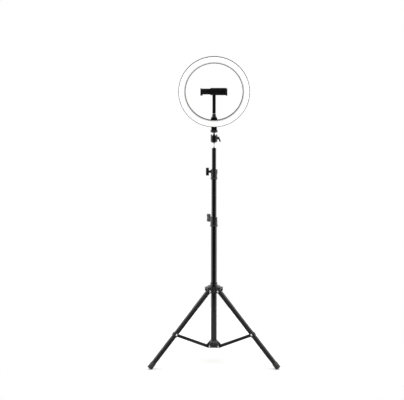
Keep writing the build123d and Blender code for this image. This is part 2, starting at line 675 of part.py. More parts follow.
def rear_housing():
    shell = turned([
        (LAMP_BORE_R, 0),
        (LAMP_R, 0),
        (LAMP_R, HOUSING_DEPTH),
        (LAMP_BORE_R, HOUSING_DEPTH),
    ])
    shell = fillet(shell.edges().filter_by(GeomType.CIRCLE).group_by(Axis.Z)[0], HOUSING_EDGE_R)
    shell -= pipe(CHANNEL_OUTER_R, CHANNEL_INNER_R, HOUSING_BACK, HOUSING_DEPTH + 1)
    for radius in (CHANNEL_INNER_R + BOARD_RIB_INSET, CHANNEL_OUTER_R - BOARD_RIB_INSET):
        shell += pipe(radius + BOARD_RIB_WIDTH, radius, HOUSING_BACK - 1, BOARD_BASE)
    hole = rod(HOUSING_SCREW_R + SEAT_GAP, -1, BOARD_BASE)
    for one in polar(hole, CHANNEL_MID_R, HOUSING_SCREW_COUNT, SCREW_START):
        shell -= one
    shell -= GLAND_PLACE * rod(GLAND_NECK_R + SEAT_GAP, -1, BOARD_BASE)
    shell = upright(shell)
    for rise in BLOCK_SCREW_RISE:
        shell -= block_screw_hole(rise, -HOUSING_BACK - 1)
    return shell


def diffuser():
    outer = CHANNEL_OUTER_R - DIFFUSER_SKIRT_GAP
    inner = CHANNEL_INNER_R + DIFFUSER_SKIRT_GAP
    edge = HOUSING_DEPTH + DIFFUSER_PROUD
    crown = edge + DIFFUSER_CROWN
    wall = DIFFUSER_WALL
    outer_line = ThreePointArc((inner, edge), (CHANNEL_MID_R, crown), (outer, edge))
    inner_line = ThreePointArc(
        (outer - wall, edge - wall), (CHANNEL_MID_R, crown - wall), (inner + wall, edge - wall)
    )
    face = make_face([
        outer_line,
        Polyline((outer, edge), (outer, BOARD_TOP), (outer - wall, BOARD_TOP), (outer - wall, edge - wall)),
        inner_line,
        Polyline((inner + wall, edge - wall), (inner + wall, BOARD_TOP), (inner, BOARD_TOP), (inner, edge)),
    ])
    cover = revolve(Plane.XZ * face, Axis.Z)
    boss = rod(DIFFUSER_BOSS_R, BOARD_TOP, crown - wall / 2)
    pilot = rod(HOUSING_SCREW_R + SEAT_GAP, BOARD_TOP - 1, BOARD_TOP + HOUSING_SCREW_BITE)
    for one in polar(boss, CHANNEL_MID_R, HOUSING_SCREW_COUNT, SCREW_START):
        cover += one
    for one in polar(pilot, CHANNEL_MID_R, HOUSING_SCREW_COUNT, SCREW_START):
        cover -= one
    return upright(cover)


def led_board():
    board = pipe(CHANNEL_OUTER_R - BOARD_INSET, CHANNEL_INNER_R + BOARD_INSET, BOARD_BASE, BOARD_TOP)
    hole = rod(HOUSING_SCREW_R + SEAT_GAP, BOARD_BASE - 1, BOARD_TOP + 1)
    for one in polar(hole, CHANNEL_MID_R, HOUSING_SCREW_COUNT, SCREW_START):
        board -= one
    return upright(board)


def led_chips():
    length, width, height = LED_SIZE
    chip = Pos(0, 0, BOARD_TOP + height / 2) * Box(width, length, height)
    rows = polar(chip, CHANNEL_INNER_R + LED_ROW_INSET, LED_ROW_COUNT)
    rows += polar(chip, CHANNEL_OUTER_R - LED_ROW_INSET, LED_ROW_COUNT, 180.0 / LED_ROW_COUNT)
    return group(upright(one) for one in rows)


def housing_screws():
    screw = rod(HOUSING_SCREW_R, 0, BOARD_TOP + HOUSING_SCREW_BITE - SEAT_GAP)
    screw += rod(HOUSING_SCREW_HEAD_R, -HOUSING_SCREW_HEAD, 0)
    screws = polar(screw, CHANNEL_MID_R, HOUSING_SCREW_COUNT, SCREW_START)
    return group(upright(one) for one in screws)


def cable_gland():
    gland = turned([
        (0, -GLAND_HEIGHT),
        (GLAND_NECK_R, -GLAND_HEIGHT),
        (GLAND_R, -GLAND_HEIGHT * GLAND_TAPER),
        (GLAND_R, 0),
        (GLAND_NECK_R, 0),
        (GLAND_NECK_R, GLAND_NECK),
        (0, GLAND_NECK),
    ])
    gland -= rod(GLAND_BORE_R, -GLAND_HEIGHT - 1, GLAND_NECK + 1)
    return upright(GLAND_PLACE * gland)


# ---- mounting block ----
def block_screw_place(rise):
    return Pos(0, 0, BLOCK_BOTTOM + LAMP_CLEAR_UNDER + rise)


def block_screw_hole(rise, front):
    return block_screw_place(rise) * rod_y(BLOCK_SCREW_R + SEAT_GAP, front, BLOCK_BACK + 1)


def mount_block():
    half = BLOCK_WIDTH / 2
    under = LAMP_Z - LAMP_R - SIDE_GAP
    foot_part = block(-half, half, -BLOCK_FRONT, BLOCK_BACK, BLOCK_BOTTOM, under)
    riser = block(-half, half, 0, BLOCK_BACK, BLOCK_BOTTOM, BLOCK_TOP)
    body = foot_part + riser
    body = fillet(body.edges().filter_by(Axis.Z), BLOCK_EDGE_R)
    body -= rod(STUD_R + PIN_GAP, BLOCK_BOTTOM - 1, BLOCK_BOTTOM + MOUNT_SCREW_BITE)
    for rise in BLOCK_SCREW_RISE:
        body -= block_screw_hole(rise, -1)
    return body


def block_screws():
    shank = rod_y(BLOCK_SCREW_R, -HOUSING_BACK, BLOCK_BACK)
    head = rod_y(BLOCK_SCREW_HEAD_R, BLOCK_BACK, BLOCK_BACK + BLOCK_SCREW_HEAD)
    return group(block_screw_place(rise) * (shank + head) for rise in BLOCK_SCREW_RISE)


# ---- phone holder ----
def holder_shoe():
    base = SHOE_BASE_WIDTH / 2
    top = SHOE_TOP_WIDTH / 2
    low = BLOCK_TOP - 2
    step = BLOCK_TOP + 2
    prism = make_face(Polyline(
        (-base, low), (base, low), (base, step), (top, SHOE_TOP), (-top, SHOE_TOP), (-base, step), close=True
    ))
    shoe = extrude(Plane.XZ * prism, SHOE_FRONT) + extrude(Plane.XZ * prism, -SHOE_BACK)
    inside = Pos(0, 0, LAMP_Z) * rod_y(LAMP_BORE_R - SEAT_GAP, -LAMP_R, LAMP_R)
    shoe = shoe & inside
    shoe += Pos(0, ARM_BALL_Y, 0) * rod(SOCKET_R, SHOE_TOP - 1, SOCKET_TOP)
    shoe -= Pos(0, ARM_BALL_Y, ARM_BALL_Z) * Sphere(ARM_BALL_R + SLIDE_GAP)
    return shoe


def phone_arm():
    centre = Pos(0, ARM_BALL_Y, ARM_BALL_Z)
    half = ARM_THICK / 2
    back = ARM_BALL_Y + half
    start = SOCKET_TOP + ARM_NECK_R
    arm = centre * Sphere(ARM_BALL_R)
    arm += Pos(0, ARM_BALL_Y, 0) * rod(ARM_NECK_R, ARM_BALL_Z, start + 1)
    plate = block(-ARM_WIDTH / 2, ARM_WIDTH / 2, ARM_FRONT, back, start, CLIP_Z)
    plate += Pos(0, 0, CLIP_Z) * rod_y(ARM_EYE_R, ARM_FRONT, back)
    arm += plate
    return arm - Pos(0, 0, CLIP_Z) * rod_y(PIVOT_SCREW_R + PIN_GAP, ARM_FRONT - 1, back + 1)


def clip_pivot_screw():
    back = ARM_BALL_Y + ARM_THICK / 2 + PIN_GAP
    shank = rod_y(PIVOT_SCREW_R, CLIP_BACK - CLIP_BODY_WALL + SEAT_GAP, back)
    head = rod_y(PIVOT_SCREW_HEAD_R, back, back + PIVOT_SCREW_HEAD)
    return Pos(0, 0, CLIP_Z) * (shank + head)


def jaw(inner_x, outer_x):
    """Jaw plate from inner_x to outer_x, with a lip at its front edge that hooks inwards."""
    inward = 1 if outer_x < inner_x else -1
    front = CLIP_FRONT - CLIP_JAW_REACH
    half = CLIP_HEIGHT / 2
    plate = block(inner_x, outer_x, front, CLIP_BACK, -half, half)
    lip = block(inner_x, inner_x + inward * CLIP_LIP, front, front + CLIP_LIP_THICK, -half, half)
    return plate + lip


def clip_body():
    right = CLIP_GAP / 2
    half = CLIP_BODY_HEIGHT / 2
    wall = CLIP_BODY_WALL
    body = block(-CLIP_BODY_LEFT, right, CLIP_FRONT, CLIP_BACK, -half, half)
    room = half - wall
    body -= block(-CLIP_BODY_LEFT - 1, right - wall, CLIP_FRONT + wall, CLIP_BACK - wall, -room, room)
    body += jaw(right, right + CLIP_FIXED_THICK)
    body -= rod_y(PIVOT_SCREW_R + SEAT_GAP, CLIP_BACK - wall - 1, CLIP_BACK + 1)
    return Pos(0, 0, CLIP_Z) * body


def clip_jaw():
    left = -CLIP_GAP / 2
    half = CLIP_BODY_HEIGHT / 2 - CLIP_BODY_WALL - SIDE_GAP
    front = SLIDER_Y - CLIP_SLIDER_THICK / 2
    back = SLIDER_Y + CLIP_SLIDER_THICK / 2
    slider = block(left - 1, left + CLIP_SLIDER_OVERLAP, front, back, -half, half)
    return Pos(0, 0, CLIP_Z) * (slider + jaw(left, left - CLIP_JAW_THICK))


def jaw_pad(inner_x, inward):
    half = CLIP_HEIGHT / 2 - CLIP_PAD_INSET
    front = CLIP_FRONT - CLIP_JAW_REACH + CLIP_LIP_THICK + SIDE_GAP
    pad = block(inner_x, inner_x + inward * CLIP_PAD, front, CLIP_FRONT - CLIP_PAD_INSET, -half, half)
    return Pos(0, 0, CLIP_Z) * pad


def clip_spring():
    start = -CLIP_GAP / 2 + CLIP_SLIDER_OVERLAP + PIN_GAP
    end = CLIP_GAP / 2 - CLIP_BODY_WALL - PIN_GAP
    coil = rod_x(SPRING_R, start, end) - rod_x(SPRING_R - SPRING_WIRE, start - 1, end + 1)
    return Pos(0, SLIDER_Y, CLIP_Z) * coil


# ---- assembly ----
def clamp_set(prefix, inner_r, neck_r, screw_z, azimuth, boss, pad):
    """T-knob and screw of one clamp, and its pressure pad where it has one."""
    boss_start = neck_r + CLAMP_BOSS_REACH + SIDE_GAP
    boss_end = boss_start + boss
    screw_start = inner_r + 2 * PIN_GAP
    nodes = {}
    if pad:
        nodes[prefix + "_clamp_pad"] = clamp_pad(inner_r, screw_z, azimuth)
        screw_start += CLAMP_PAD_LENGTH + PIN_GAP
    nodes[prefix + "_clamp_screw"] = clamp_screw(screw_start, boss_end, screw_z, azimuth)
    nodes[prefix + "_clamp_knob"] = t_knob(boss_start, boss_end, screw_z, azimuth)
    return nodes


def all_nodes():
    lower_screw_z = LOWER_TUBE_TOP + CLAMP_SCREW_HEIGHT
    upper_screw_z = MIDDLE_TUBE_TOP + CLAMP_SCREW_HEIGHT
    middle_base = MIDDLE_TUBE_TOP - MIDDLE_TUBE_LENGTH
    top_base = TOP_TUBE_TOP - TOP_TUBE_LENGTH
    hub_neck_r = LOWER_TUBE_R + SLIDE_GAP + NECK_WALL
    half_gap = CLIP_GAP / 2
    nodes = {
        "lower_hub": lower_hub(),
        "lower_hub_rivets": lower_hub_rivets(),
        "lower_tube": pipe(LOWER_TUBE_R, LOWER_TUBE_R - TUBE_WALL, LOWER_TUBE_BASE, LOWER_TUBE_TOP),
        "lower_collar": collar(LOWER_TUBE_R, MIDDLE_TUBE_R, LOWER_TUBE_TOP, LOWER_COLLAR_HEAD,
                               LOWER_KNOB_AZIMUTH),
        "upper_hub": upper_hub(),
        "leg_pivot_rivets": leg_pivot_rivets(),
        "middle_tube": pipe(MIDDLE_TUBE_R, MIDDLE_TUBE_R - TUBE_WALL, middle_base, MIDDLE_TUBE_TOP),
        "middle_tube_bush": bush(MIDDLE_TUBE_R, middle_base),
        "upper_collar": collar(MIDDLE_TUBE_R, TOP_TUBE_R, MIDDLE_TUBE_TOP, UPPER_COLLAR_HEAD,
                               UPPER_KNOB_AZIMUTH),
        "top_tube": pipe(TOP_TUBE_R, TOP_TUBE_R - TUBE_WALL, top_base, TOP_TUBE_TOP),
        "top_tube_bush": bush(TOP_TUBE_R, top_base),
        "top_cap": top_cap(),
        "top_stud": top_stud(),
        "stud_nut": stud_nut(),
        "ball_housing": ball_housing(),
        "ball_clamp_pad": ball_clamp_pad(),
        "lever_screw": lever_screw(),
        "ball_lock_lever": ball_lock_lever(),
        "ball_stem": ball_stem(),
        "mount_screw": mount_screw(),
        "lock_ring": lock_ring(),
        "mount_block": mount_block(),
        "block_screws": block_screws(),
        "rear_housing": rear_housing(),
        "diffuser": diffuser(),
        "led_board": led_board(),
        "led_chips": led_chips(),
        "housing_screws": housing_screws(),
        "cable_gland": cable_gland(),
        "holder_shoe": holder_shoe(),
        "phone_arm": phone_arm(),
        "clip_pivot_screw": clip_pivot_screw(),
        "clip_body": clip_body(),
        "clip_jaw": clip_jaw(),
        "fixed_jaw_pad": jaw_pad(half_gap, -1),
        "moving_jaw_pad": jaw_pad(-half_gap, 1),
        "clip_spring": clip_spring(),
    }
    for side, azimuth in LEG_AZIMUTHS.items():
        nodes["leg_" + side] = in_leg(leg_channel(), azimuth)
        nodes["foot_" + side] = ground_flat(foot(), azimuth)
        nodes["saddle_" + side] = in_leg(saddle(), azimuth)
        nodes["brace_rivet_" + side] = in_leg(brace_rivet(), azimuth)
        nodes["brace_" + side] = brace(azimuth)
    nodes.update(clamp_set("lower", MIDDLE_TUBE_R, collar_neck_r(MIDDLE_TUBE_R), lower_screw_z,
                           LOWER_KNOB_AZIMUTH, KNOB_BOSS, True))
    nodes.update(clamp_set("upper", TOP_TUBE_R, collar_neck_r(TOP_TUBE_R), upper_screw_z,
                           UPPER_KNOB_AZIMUTH, KNOB_BOSS, True))
    nodes.update(clamp_set("hub", LOWER_TUBE_R, hub_neck_r, UPPER_PIVOT_Z + HUB_SCREW_HEIGHT,
                           HUB_KNOB_AZIMUTH, HUB_KNOB_BOSS, False))
    return nodes


os.makedirs("parts", exist_ok=True)
for name, shape in all_nodes().items():
    export_step(shape, "parts/" + name + ".step")
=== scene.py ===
import json
from math import cos, pi, radians, sin, tau

import bmesh
import bpy
from mathutils import Matrix, Vector

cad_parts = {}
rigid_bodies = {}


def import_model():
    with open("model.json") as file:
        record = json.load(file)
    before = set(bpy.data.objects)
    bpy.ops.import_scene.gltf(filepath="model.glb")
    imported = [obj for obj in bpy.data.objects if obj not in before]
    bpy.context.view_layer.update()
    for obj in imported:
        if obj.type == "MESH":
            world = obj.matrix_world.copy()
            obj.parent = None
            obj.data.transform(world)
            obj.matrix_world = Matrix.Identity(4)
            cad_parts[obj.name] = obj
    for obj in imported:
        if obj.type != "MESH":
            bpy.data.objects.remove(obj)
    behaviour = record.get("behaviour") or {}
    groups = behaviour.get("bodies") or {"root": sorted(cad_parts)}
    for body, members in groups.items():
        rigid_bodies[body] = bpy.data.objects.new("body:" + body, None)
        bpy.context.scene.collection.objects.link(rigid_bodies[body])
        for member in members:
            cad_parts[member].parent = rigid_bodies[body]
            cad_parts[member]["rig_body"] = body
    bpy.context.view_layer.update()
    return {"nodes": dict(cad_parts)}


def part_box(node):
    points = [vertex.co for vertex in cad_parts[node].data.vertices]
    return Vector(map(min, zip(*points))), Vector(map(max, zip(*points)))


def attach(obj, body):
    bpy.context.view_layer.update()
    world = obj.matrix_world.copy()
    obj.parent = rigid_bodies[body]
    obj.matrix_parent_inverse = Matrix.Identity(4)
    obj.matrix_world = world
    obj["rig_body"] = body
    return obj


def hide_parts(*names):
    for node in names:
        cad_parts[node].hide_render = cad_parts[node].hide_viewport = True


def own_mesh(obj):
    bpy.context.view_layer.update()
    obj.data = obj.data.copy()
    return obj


# A ring light on a folding three-section light stand. Sizes in the sections are in millimetres,
# and everything placed in the scene is in metres, in the frame of the CAD part.
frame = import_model()
MM = 0.001

# ---------------------------------------------------------------------------------------------
# Column: three drawn aluminium tubes that slide in each other. Each is lacquered black after
# drawing, semi-gloss, so it shows a dark middle with soft bright bands, faint lines along the
# draw and light rubbing where the next tube and its clamp slide.


def linear(hex_colour):
    """An sRGB hex colour as linear RGBA."""
    parts = [int(hex_colour[i:i + 2], 16) / 255 for i in (1, 3, 5)]
    return (*(c / 12.92 if c <= 0.04045 else ((c + 0.055) / 1.055) ** 2.4 for c in parts), 1.0)


def add(tree, kind, settings, links=()):
    """Adds a shader node, sets its properties and sockets by name, and links its sockets."""
    node = tree.nodes.new(kind)
    for name, value in settings.items():
        if isinstance(name, str) and hasattr(node, name):
            setattr(node, name, value)
        else:
            node.inputs[name].default_value = value
    for name, source in dict(links).items():
        tree.links.new(source, node.inputs[name])
    return node


def finish_of(name, **sockets):
    """A new material, its node tree, its Principled shader and the real-size coordinates."""
    made = bpy.data.materials.new(name)
    made.use_nodes = True
    tree = made.node_tree
    tree.nodes.clear()
    shader = add(tree, "ShaderNodeBsdfPrincipled", {})
    for socket, value in sockets.items():
        shader.inputs[socket.replace("_", " ")].default_value = value
    add(tree, "ShaderNodeOutputMaterial", {}, {"Surface": shader.outputs["BSDF"]})
    place = add(tree, "ShaderNodeTexCoord", {}).outputs["Object"]
    return made, tree, shader, place


def pattern(tree, place, size_mm, detail=2.0, stretch=(1, 1, 1)):
    """Soft noise whose grains are size_mm across, drawn out along an axis where stretch is less."""
    scaled = add(tree, "ShaderNodeMapping", {"Scale": stretch}, {"Vector": place})
    noise = add(tree, "ShaderNodeTexNoise", {"Scale": 1 / (size_mm * MM), "Detail": detail},
                {"Vector": scaled.outputs["Vector"]})
    return noise.outputs["Fac"]


def between(tree, factor, low, high, start=0.35, end=0.65):
    """A value that goes from low to high as factor goes from start to end."""
    spread = add(tree, "ShaderNodeMapRange",
                 {"From Min": start, "From Max": end, "To Min": low, "To Max": high},
                 {"Value": factor})
    return spread.outputs["Result"]


def tint(tree, factor, first, second, start=0.3, end=0.7):
    """A colour that goes from the first hex colour to the second with factor."""
    share = between(tree, factor, 0.0, 1.0, start, end)
    mixed = add(tree, "ShaderNodeMix", {"data_type": "RGBA"}, {0: share})
    mixed.inputs[6].default_value = linear(first)
    mixed.inputs[7].default_value = linear(second)
    return mixed.outputs[2]


def relief(tree, shader, height, depth_mm, strength=1.0):
    """Bump of depth_mm from a height pattern, on the shader."""
    bump = add(tree, "ShaderNodeBump", {"Distance": depth_mm * MM, "Strength": strength},
               {"Height": height})
    tree.links.new(bump.outputs["Normal"], shader.inputs["Normal"])


def cover(nodes, finish):
    """Gives CAD nodes that keep their shape this finish."""
    for node in nodes:
        slots = frame["nodes"][node].data.materials
        slots.clear()
        slots.append(finish)


LACQUER_DARK = "#060607"
LACQUER_LIGHT = "#0b0b0c"
DRAW_LINE = 0.5          # between the lines along the tube, coarser than real so that they show
DRAW_DEPTH = 0.004
DRAW_STRETCH = (1, 1, 0.004)
RUBBED_PATCH = 40        # across the patches that the next tube and the hand have rubbed
lacquered_tube, tree, shader, place = finish_of("LacqueredAluminiumTube", IOR=1.5, Roughness=0.24,
                                                Specular_IOR_Level=0.35)
lines = pattern(tree, place, DRAW_LINE, 3.0, DRAW_STRETCH)
patches = pattern(tree, place, RUBBED_PATCH, 3.0, (1, 1, 0.4))
tree.links.new(tint(tree, patches, LACQUER_DARK, LACQUER_LIGHT), shader.inputs["Base Color"])
tree.links.new(between(tree, lines, 0.2, 0.29), shader.inputs["Roughness"])
relief(tree, shader, lines, DRAW_DEPTH)
cover(["lower_tube", "middle_tube", "top_tube"], lacquered_tube)

# ---------------------------------------------------------------------------------------------
# Slide bushes and clamp pads: natural nylon, injection moulded. The bushes are pressed in the
# lower ends of the sliding tubes and the pads sit under the clamp screws, so they show only
# as a thin milky edge.

nylon, tree, shader, place = finish_of("MouldedNylon", IOR=1.53, Roughness=0.5,
                                       Subsurface_Weight=0.15, Subsurface_Scale=0.002)
NYLON_CLOUD = 9          # across the milky patches
NYLON_GRAIN = 0.8
cloud = pattern(tree, place, NYLON_CLOUD, 3.0)
tree.links.new(tint(tree, cloud, "#d9d5c8", "#e6e3d8"), shader.inputs["Base Color"])
tree.links.new(between(tree, pattern(tree, place, 0.6), 0.42, 0.58), shader.inputs["Roughness"])
relief(tree, shader, pattern(tree, place, NYLON_GRAIN), 0.01)
cover(["middle_tube_bush", "top_tube_bush", "lower_clamp_pad", "upper_clamp_pad",
       "ball_clamp_pad"], nylon)

# ---------------------------------------------------------------------------------------------
# Legs, saddles and braces: steel strip pressed into channels, then powder coated black. The
# coat is satin with a fine orange peel, and it rounds every pressed edge a little.


def body_of(node):
    """The CAD body that a node is on."""
    return frame["nodes"][node]["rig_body"]


def settle(piece, nodes, finish, body=None, sharp=32):
    """Shades a finished piece, gives it its finish, and puts it in the place of its CAD nodes."""
    piece.data.materials.clear()
    piece.data.materials.append(finish)
    piece.data.shade_smooth()
    piece.data.set_sharp_from_angle(angle=radians(sharp))
    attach(piece, body or body_of(nodes[0]))
    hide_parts(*nodes)
    return piece


def applied(piece):
    """The piece with its modifiers made part of its mesh."""
    made = piece.evaluated_get(bpy.context.evaluated_depsgraph_get())
    mesh = bpy.data.meshes.new_from_object(made)
    piece.modifiers.clear()
    piece.data = mesh
    return piece


def eased(node, name, radius, turns=2, angle=40):
    """The faces of a CAD node as a new piece, with its sharp edges rounded to radius in mm."""
    source = frame["nodes"][node].data
    mesh = bpy.data.meshes.new(name)
    mesh.from_pydata([v.co for v in source.vertices], [], [list(p.vertices) for p in source.polygons])
    shape = bmesh.new()
    shape.from_mesh(mesh)
    bmesh.ops.remove_doubles(shape, verts=shape.verts, dist=0.003 * MM)
    bmesh.ops.dissolve_limit(shape, angle_limit=radians(0.5), verts=shape.verts, edges=shape.edges)
    shape.to_mesh(mesh)
    shape.free()
    piece = bpy.data.objects.new(name, mesh)
    bpy.context.scene.collection.objects.link(piece)
    rounding = piece.modifiers.new("Rounding", "BEVEL")
    rounding.width = radius * MM
    rounding.segments = turns
    rounding.limit_method = "ANGLE"
    rounding.angle_limit = radians(angle)
    rounding.miter_outer = "MITER_ARC"
    bpy.context.view_layer.update()
    return applied(piece)


powder_coat, tree, shader, place = finish_of("PowderCoatedSteel", IOR=1.5, Roughness=0.36,
                                             Specular_IOR_Level=0.2)
PEEL_SIZE = 1.1          # orange peel, deeper than the real coat's so that it shows
PEEL_DEPTH = 0.03
WEAR_SIZE = 4            # across the duller spots that handling leaves
peel = pattern(tree, place, PEEL_SIZE, 2.0)
patches = pattern(tree, place, 30, 3.0)
tree.links.new(tint(tree, patches, "#070708", "#0e0e0f"), shader.inputs["Base Color"])
wear = pattern(tree, place, WEAR_SIZE, 4.0)
tree.links.new(between(tree, wear, 0.31, 0.42), shader.inputs["Roughness"])
relief(tree, shader, peel, PEEL_DEPTH)
for side in ("left", "right", "back"):
    for part, radius in (("leg", 0.35), ("saddle", 0.4), ("brace", 0.3)):
        node = part + "_" + side
        settle(eased(node, "Pressed_" + node, radius), [node], powder_coat)

# ---------------------------------------------------------------------------------------------
# Feet: soft black rubber caps pushed over the ends of the legs, ground flat where they stand.
# They are matt, with dust in the fine grain of the mould.

rubber, tree, shader, place = finish_of("MouldedRubber", IOR=1.5, Roughness=0.75)
DUST_PATCH = 5
RUBBER_GRAIN = 0.7
dust = pattern(tree, place, DUST_PATCH, 6.0)
tree.links.new(tint(tree, dust, "#101010", "#1f1f1e"), shader.inputs["Base Color"])
rubber_grain = pattern(tree, place, RUBBER_GRAIN)
tree.links.new(between(tree, rubber_grain, 0.62, 0.85), shader.inputs["Roughness"])
relief(tree, shader, rubber_grain, 0.03)
for side in ("left", "right", "back"):
    settle(eased("foot_" + side, "Cap_foot_" + side, 0.8, 3), ["foot_" + side], rubber)

# ---------------------------------------------------------------------------------------------
# Rivets: nickel-plated steel, headed cold. The low heads are bright and almost smooth, and
# catch the light on both hubs and at the saddles.

nickel, tree, shader, place = finish_of("NickelPlatedSteel", Metallic=1.0, Roughness=0.22)
HAZE_SIZE = 2.5          # across the dull spots in the plating
haze = pattern(tree, place, HAZE_SIZE, 4.0)
tree.links.new(tint(tree, haze, "#b9babc", "#d6d6d4"), shader.inputs["Base Color"])
tree.links.new(between(tree, haze, 0.16, 0.3), shader.inputs["Roughness"])
relief(tree, shader, pattern(tree, place, 0.5), 0.004)
for node in ("leg_pivot_rivets", "lower_hub_rivets", "brace_rivet_left", "brace_rivet_right",
             "brace_rivet_back"):
    settle(eased(node, "Domed_" + node, 0.6, 4, 20), [node], nickel)

# ---------------------------------------------------------------------------------------------
# Hubs, clamp collars and knobs: glass-filled nylon, injection moulded black. The mould's fine
# spark grain makes it satin, a shade lighter than the lacquer, with slightly polished edges.

moulding, tree, shader, place = finish_of("GlassFilledNylonMoulding", IOR=1.53, Roughness=0.42,
                                          Specular_IOR_Level=0.35)
FLOW_MARK = 14           # across the marks where the melt flowed
SPARK_GRAIN = 0.8        # coarser than the real spark grain, so that it shows
SPARK_DEPTH = 0.045
flow = pattern(tree, place, FLOW_MARK, 4.0)
grain = pattern(tree, place, SPARK_GRAIN, 2.0)
tree.links.new(tint(tree, flow, "#070708", "#101011"), shader.inputs["Base Color"])
tree.links.new(between(tree, grain, 0.34, 0.52), shader.inputs["Roughness"])
relief(tree, shader, grain, SPARK_DEPTH)
for node, radius in (("lower_hub", 0.5), ("upper_hub", 0.5), ("lower_collar", 0.4),
                     ("upper_collar", 0.4), ("hub_clamp_knob", 1.2), ("lower_clamp_knob", 1.2),
                     ("upper_clamp_knob", 1.2), ("top_cap", 0.2), ("ball_lock_lever", 0.7)):
    settle(eased(node, "Moulded_" + node, radius, 3), [node], moulding)

# ---------------------------------------------------------------------------------------------
# Screws, studs and the head nut: turned and rolled steel, plated like the rivets. The studs have
# the quarter-inch camera thread, and the cross-head screws are low pan heads.

THREAD_PITCH = 1.27      # twenty turns to the inch
THREAD_DEPTH = 0.55
THREAD_STEPS = 8         # rings to each turn
LEAD_IN = 0.7            # at the top of a thread


def spun(name, rings, count=64, closed=False, place=Matrix()):
    """A turned piece from (height, radius) rings in mm; a radius may be a function of the angle.
    It is capped at both ends, or it is closed from its last ring to its first."""
    corners = []
    for height, radius in rings:
        for i in range(count):
            angle = i * tau / count
            reach = radius(angle) if callable(radius) else radius
            corners.append(place @ (Vector((reach * cos(angle), reach * sin(angle), height)) * MM))
    faces = []
    levels = len(rings)
    for level in range(levels if closed else levels - 1):
        low = level * count
        high = (level + 1) % levels * count
        for i in range(count):
            after = (i + 1) % count
            faces.append((low + i, low + after, high + after, high + i))
    if not closed:
        faces.append(tuple(reversed(range(count))))
        faces.append(tuple(range((levels - 1) * count, levels * count)))
    mesh = bpy.data.meshes.new(name)
    mesh.from_pydata(corners, [], faces)
    piece = bpy.data.objects.new(name, mesh)
    bpy.context.scene.collection.objects.link(piece)
    return piece


def thread_rings(radius, low, high):
    """Rings of a screw thread from low to high, with a short lead-in at the top."""
    steps = int((high - low) / THREAD_PITCH * THREAD_STEPS)
    rings = []
    for i in range(steps + 1):
        height = low + (high - low) * i / steps
        crest = radius - min(1.0, max(0.0, height - high + LEAD_IN)) * THREAD_DEPTH

        def reach(angle, height=height, crest=crest):
            turn = (height / THREAD_PITCH - angle / tau) % 1.0
            return min(crest, radius - THREAD_DEPTH * abs(2 * turn - 1))

        rings.append((height, reach))
    return rings


low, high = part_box("top_stud")
STUD_R = (high.x - low.x) / MM / 2
stud = spun("Threaded_stud", thread_rings(STUD_R, low.z / MM, high.z / MM), 48)
settle(stud, ["top_stud"], nickel, sharp=60)

THREAD_ROOT_R = 2.0
neck_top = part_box("ball_stem")[1].z / MM
low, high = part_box("mount_screw")
root = [(low.z / MM, THREAD_ROOT_R), (neck_top + 0.02, THREAD_ROOT_R)]
screw = spun("Threaded_mount_screw", root + thread_rings(STUD_R, neck_top + 0.04, high.z / MM), 48)
settle(screw, ["mount_screw"], nickel, sharp=60)

NUT_CHAMFER = 0.7
NUT_COUNTERSINK = 0.6
BORE_CLEAR = 0.05        # of a bore round the stud
low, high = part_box("stud_nut")
across_flats = (high.y - low.y) / MM


def hexagon(angle):
    return across_flats / 2 / cos(angle % (pi / 3) - pi / 6)


def hexagon_end(angle):
    return min(hexagon(angle), across_flats / 2 + 0.1)


bottom, top = low.z / MM, high.z / MM
nut = spun("Hexagon_nut", [
    (bottom, STUD_R + BORE_CLEAR), (bottom, hexagon_end), (bottom + NUT_CHAMFER, hexagon),
    (top - NUT_CHAMFER, hexagon), (top, hexagon_end), (top, STUD_R + NUT_COUNTERSINK),
    (top - NUT_COUNTERSINK, STUD_R + BORE_CLEAR),
], 96, True)
settle(nut, ["stud_nut"], nickel, sharp=20)

for node in ("hub_clamp_screw", "lower_clamp_screw", "upper_clamp_screw", "lever_screw"):
    settle(eased(node, "Turned_" + node, 0.3), [node], nickel)


def cross_screws(name, node, places, head_r, head_height, shank_r, shank):
    """Pan-head screws at the given places, head up, each with a tapered cross recess."""
    one = spun("Screw", [
        (-shank, shank_r * 0.6), (-shank + shank_r * 0.5, shank_r), (0, shank_r), (0, head_r),
        (head_height * 0.5, head_r), (head_height * 0.85, head_r * 0.88), (head_height, head_r * 0.6),
    ], 40)
    half = head_r * 0.14     # of the recess's width
    arm = head_r * 0.52
    floor = head_height * 0.35
    cutter = bpy.data.meshes.new("Cross")
    corners, faces = [], []
    for x, y in ((arm, half), (half, arm)):
        start = len(corners)
        for z, share in ((floor, 0.6), (head_height + 0.5, 1.1)):
            for side_x, side_y in ((-1, -1), (1, -1), (1, 1), (-1, 1)):
                corners.append(Vector((side_x * x * share, side_y * y * share, z)) * MM)
        faces += [tuple(start + i for i in face) for face in (
            (3, 2, 1, 0), (4, 5, 6, 7), (0, 1, 5, 4), (1, 2, 6, 5), (2, 3, 7, 6), (3, 0, 4, 7))]
    cutter.from_pydata(corners, [], faces)
    cross = bpy.data.objects.new("Cross", cutter)
    bpy.context.scene.collection.objects.link(cross)
    recess = one.modifiers.new("Recess", "BOOLEAN")
    recess.object = cross
    recess.operation = "DIFFERENCE"
    recess.solver = "EXACT"
    recess.use_self = True
    bpy.context.view_layer.update()
    applied(one)
    joined = bmesh.new()
    for matrix in places:
        copy = one.data.copy()
        copy.transform(matrix)
        joined.from_mesh(copy)
    mesh = bpy.data.meshes.new(name)
    joined.to_mesh(mesh)
    joined.free()
    bpy.data.objects.remove(one)
    bpy.data.objects.remove(cross)
    piece = bpy.data.objects.new(name, mesh)
    bpy.context.scene.collection.objects.link(piece)
    return settle(piece, [node], nickel)


